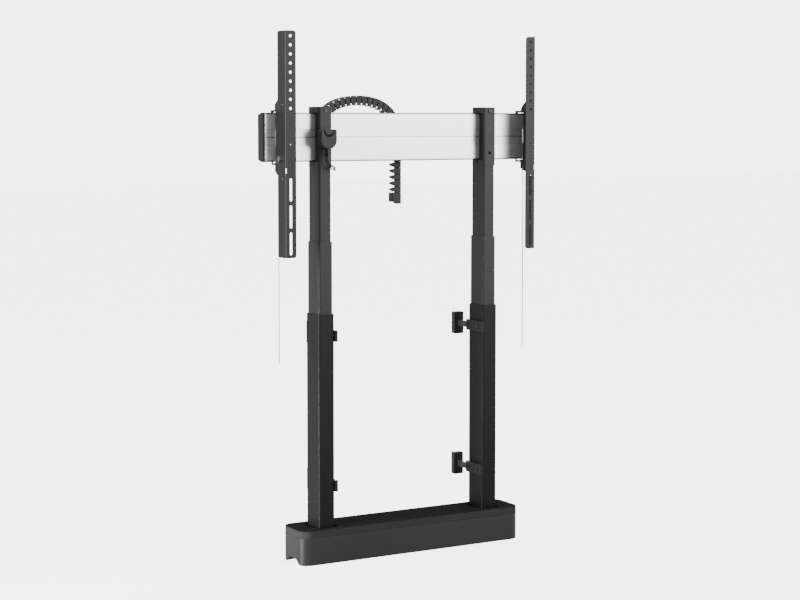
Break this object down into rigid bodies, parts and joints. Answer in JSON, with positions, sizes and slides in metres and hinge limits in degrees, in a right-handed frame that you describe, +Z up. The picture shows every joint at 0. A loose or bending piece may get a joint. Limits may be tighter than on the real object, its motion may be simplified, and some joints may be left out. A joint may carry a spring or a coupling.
{
  "type": "tv lift mechanism",
  "caption": "Twin-column lift that raises a screen out of a cabinet on a crossbar with sliding hook-on mounting strips, with a weighted base and wall spacers",
  "frame": {"origin": "on the floor under the middle of the base, midway between the columns", "axes": "+X to the right seen from the front, -Y towards the viewer and the screen, +Y towards the wall, +Z up"},
  "size_m": [0.914, 0.173, 1.506],
  "materials": {
    "base_cover": "fine satin black-grey",
    "base_feet": "matt",
    "base_lid": "fine satin black-grey",
    "base_plate": "black powder coat",
    "bracket_screws": "blackened",
    "cable_chain": "matt",
    "chain_bracket": "black powder coat",
    "chain_end": "matt",
    "clamp_blocks": "matt",
    "control_box": "matt",
    "crossbar": "satin anodised",
    "crossbar_caps": "matt",
    "gear_housing_left": "as cast",
    "gear_housing_right": "as cast",
    "head_bracket_left": "fine graphite powder coat",
    "head_bracket_right": "fine graphite powder coat",
    "head_screws": "blackened",
    "housing_bolts": "zinc plated",
    "inner_glides": "satin",
    "inner_tube_left": "fine graphite powder coat",
    "inner_tube_right": "fine graphite powder coat",
    "latch_bolt_left": "matt",
    "latch_bolt_right": "matt",
    "latch_housing_left": "matt",
    "latch_housing_right": "matt",
    "lift_nuts": "satin",
    "middle_glides_left": "satin",
    "middle_glides_right": "satin",
    "middle_tube_left": "fine graphite powder coat",
    "middle_tube_right": "fine graphite powder coat",
    "motor_leads": "matt",
    "motor_left": "black paint",
    "motor_right": "black paint",
    "outer_glides": "satin",
    "outer_tube_left": "fine graphite powder coat",
    "outer_tube_right": "fine graphite powder coat",
    "power_inlet": "matt",
    "pull_cord_left": "braided",
    "pull_cord_right": "braided",
    "sensor_leads": "matt",
    "sensor_pod": "satin",
    "sensor_window": "gloss",
    "spindle_left": "rolled thread, greased",
    "spindle_right": "rolled thread, greased",
    "strip_left": "fine graphite powder coat",
    "strip_right": "fine graphite powder coat",
    "strip_screws_left": "blackened",
    "strip_screws_right": "blackened",
    "tab_pad_left": "matt",
    "tab_pad_right": "matt",
    "top_hook_left": "black powder coat",
    "top_hook_right": "black powder coat",
    "wall_arm_left_lower": "graphite powder coat",
    "wall_arm_left_upper": "graphite powder coat",
    "wall_arm_right_lower": "graphite powder coat",
    "wall_arm_right_upper": "graphite powder coat",
    "wall_sleeve_left_lower": "graphite powder coat",
    "wall_sleeve_left_upper": "graphite powder coat",
    "wall_sleeve_right_lower": "graphite powder coat",
    "wall_sleeve_right_upper": "graphite powder coat"
  },
  "bodies": {
    "base": {"base_cover": "base_cover", "base_lid": "base_lid", "base_plate": "base_plate", "base_feet": "base_feet", "control_box": "control_box", "power_inlet": "power_inlet", "motor_leads": "motor_leads", "housing_bolts": "housing_bolts", "outer_glides": "outer_glides", "bracket_screws": "bracket_screws", "gear_housing_left": "gear_housing_left", "motor_left": "motor_left", "outer_tube_left": "outer_tube_left", "wall_sleeve_left_upper": "wall_sleeve_left_upper", "wall_sleeve_left_lower": "wall_sleeve_left_lower", "gear_housing_right": "gear_housing_right", "motor_right": "motor_right", "outer_tube_right": "outer_tube_right", "wall_sleeve_right_upper": "wall_sleeve_right_upper", "wall_sleeve_right_lower": "wall_sleeve_right_lower"},
    "carriage": {"lift_nuts": "lift_nuts", "inner_glides": "inner_glides", "clamp_blocks": "clamp_blocks", "head_screws": "head_screws", "crossbar": "crossbar", "crossbar_caps": "crossbar_caps", "sensor_pod": "sensor_pod", "sensor_window": "sensor_window", "sensor_leads": "sensor_leads", "cable_chain": "cable_chain", "chain_end": "chain_end", "chain_bracket": "chain_bracket", "inner_tube_left": "inner_tube_left", "head_bracket_left": "head_bracket_left", "inner_tube_right": "inner_tube_right", "head_bracket_right": "head_bracket_right"},
    "middle_left": {"middle_tube_left": "middle_tube_left", "middle_glides_left": "middle_glides_left"},
    "spindle_left": {"spindle_left": "spindle_left"},
    "strip_left": {"strip_left": "strip_left", "tab_pad_left": "tab_pad_left", "top_hook_left": "top_hook_left", "strip_screws_left": "strip_screws_left", "latch_housing_left": "latch_housing_left"},
    "latch_left": {"latch_bolt_left": "latch_bolt_left", "pull_cord_left": "pull_cord_left"},
    "arm_left_upper": {"wall_arm_left_upper": "wall_arm_left_upper"},
    "arm_left_lower": {"wall_arm_left_lower": "wall_arm_left_lower"},
    "middle_right": {"middle_tube_right": "middle_tube_right", "middle_glides_right": "middle_glides_right"},
    "spindle_right": {"spindle_right": "spindle_right"},
    "strip_right": {"strip_right": "strip_right", "tab_pad_right": "tab_pad_right", "top_hook_right": "top_hook_right", "strip_screws_right": "strip_screws_right", "latch_housing_right": "latch_housing_right"},
    "latch_right": {"latch_bolt_right": "latch_bolt_right", "pull_cord_right": "pull_cord_right"},
    "arm_right_upper": {"wall_arm_right_upper": "wall_arm_right_upper"},
    "arm_right_lower": {"wall_arm_right_lower": "wall_arm_right_lower"}
  },
  "joints": [
    {"name": "lift", "type": "slide", "parent": "base", "child": "carriage", "axis": [0, 0, 1], "range_m": [-0.408, 0.242]},
    {"name": "middle_slide_left", "type": "slide", "parent": "base", "child": "middle_left", "axis": [0, 0, 1], "range_m": [-0.205, 0.122]},
    {"name": "spindle_turn_left", "type": "hinge", "parent": "base", "child": "spindle_left", "pos_m": [-0.275, 0, 0.05], "axis": [0, 0, 1], "range_deg": [-9200, 5460]},
    {"name": "strip_slide_left", "type": "slide", "parent": "carriage", "child": "strip_left", "axis": [1, 0, 0], "range_m": [-0.028, 0.08]},
    {"name": "latch_pull_left", "type": "slide", "parent": "strip_left", "child": "latch_left", "axis": [0, 0, 1], "range_m": [-0.006, 0], "stiffness_N_per_m": 600},
    {"name": "wall_reach_left_upper", "type": "slide", "parent": "base", "child": "arm_left_upper", "axis": [0, 1, 0], "range_m": [-0.006, 0.045]},
    {"name": "wall_reach_left_lower", "type": "slide", "parent": "base", "child": "arm_left_lower", "axis": [0, 1, 0], "range_m": [-0.006, 0.045]},
    {"name": "middle_slide_right", "type": "slide", "parent": "base", "child": "middle_right", "axis": [0, 0, 1], "range_m": [-0.205, 0.122]},
    {"name": "spindle_turn_right", "type": "hinge", "parent": "base", "child": "spindle_right", "pos_m": [0.275, 0, 0.05], "axis": [0, 0, 1], "range_deg": [-9200, 5460]},
    {"name": "strip_slide_right", "type": "slide", "parent": "carriage", "child": "strip_right", "axis": [1, 0, 0], "range_m": [-0.08, 0.028]},
    {"name": "latch_pull_right", "type": "slide", "parent": "strip_right", "child": "latch_right", "axis": [0, 0, 1], "range_m": [-0.006, 0], "stiffness_N_per_m": 600},
    {"name": "wall_reach_right_upper", "type": "slide", "parent": "base", "child": "arm_right_upper", "axis": [0, 1, 0], "range_m": [-0.006, 0.045]},
    {"name": "wall_reach_right_lower", "type": "slide", "parent": "base", "child": "arm_right_lower", "axis": [0, 1, 0], "range_m": [-0.006, 0.045]}
  ],
  "couplings": [
    {"joint": "middle_slide_left", "follows": "lift", "ratio": 0.5},
    {"joint": "spindle_turn_left", "follows": "lift", "rad_per_m": 392.7},
    {"joint": "middle_slide_right", "follows": "lift", "ratio": 0.5},
    {"joint": "spindle_turn_right", "follows": "lift", "rad_per_m": 392.7}
  ]
}
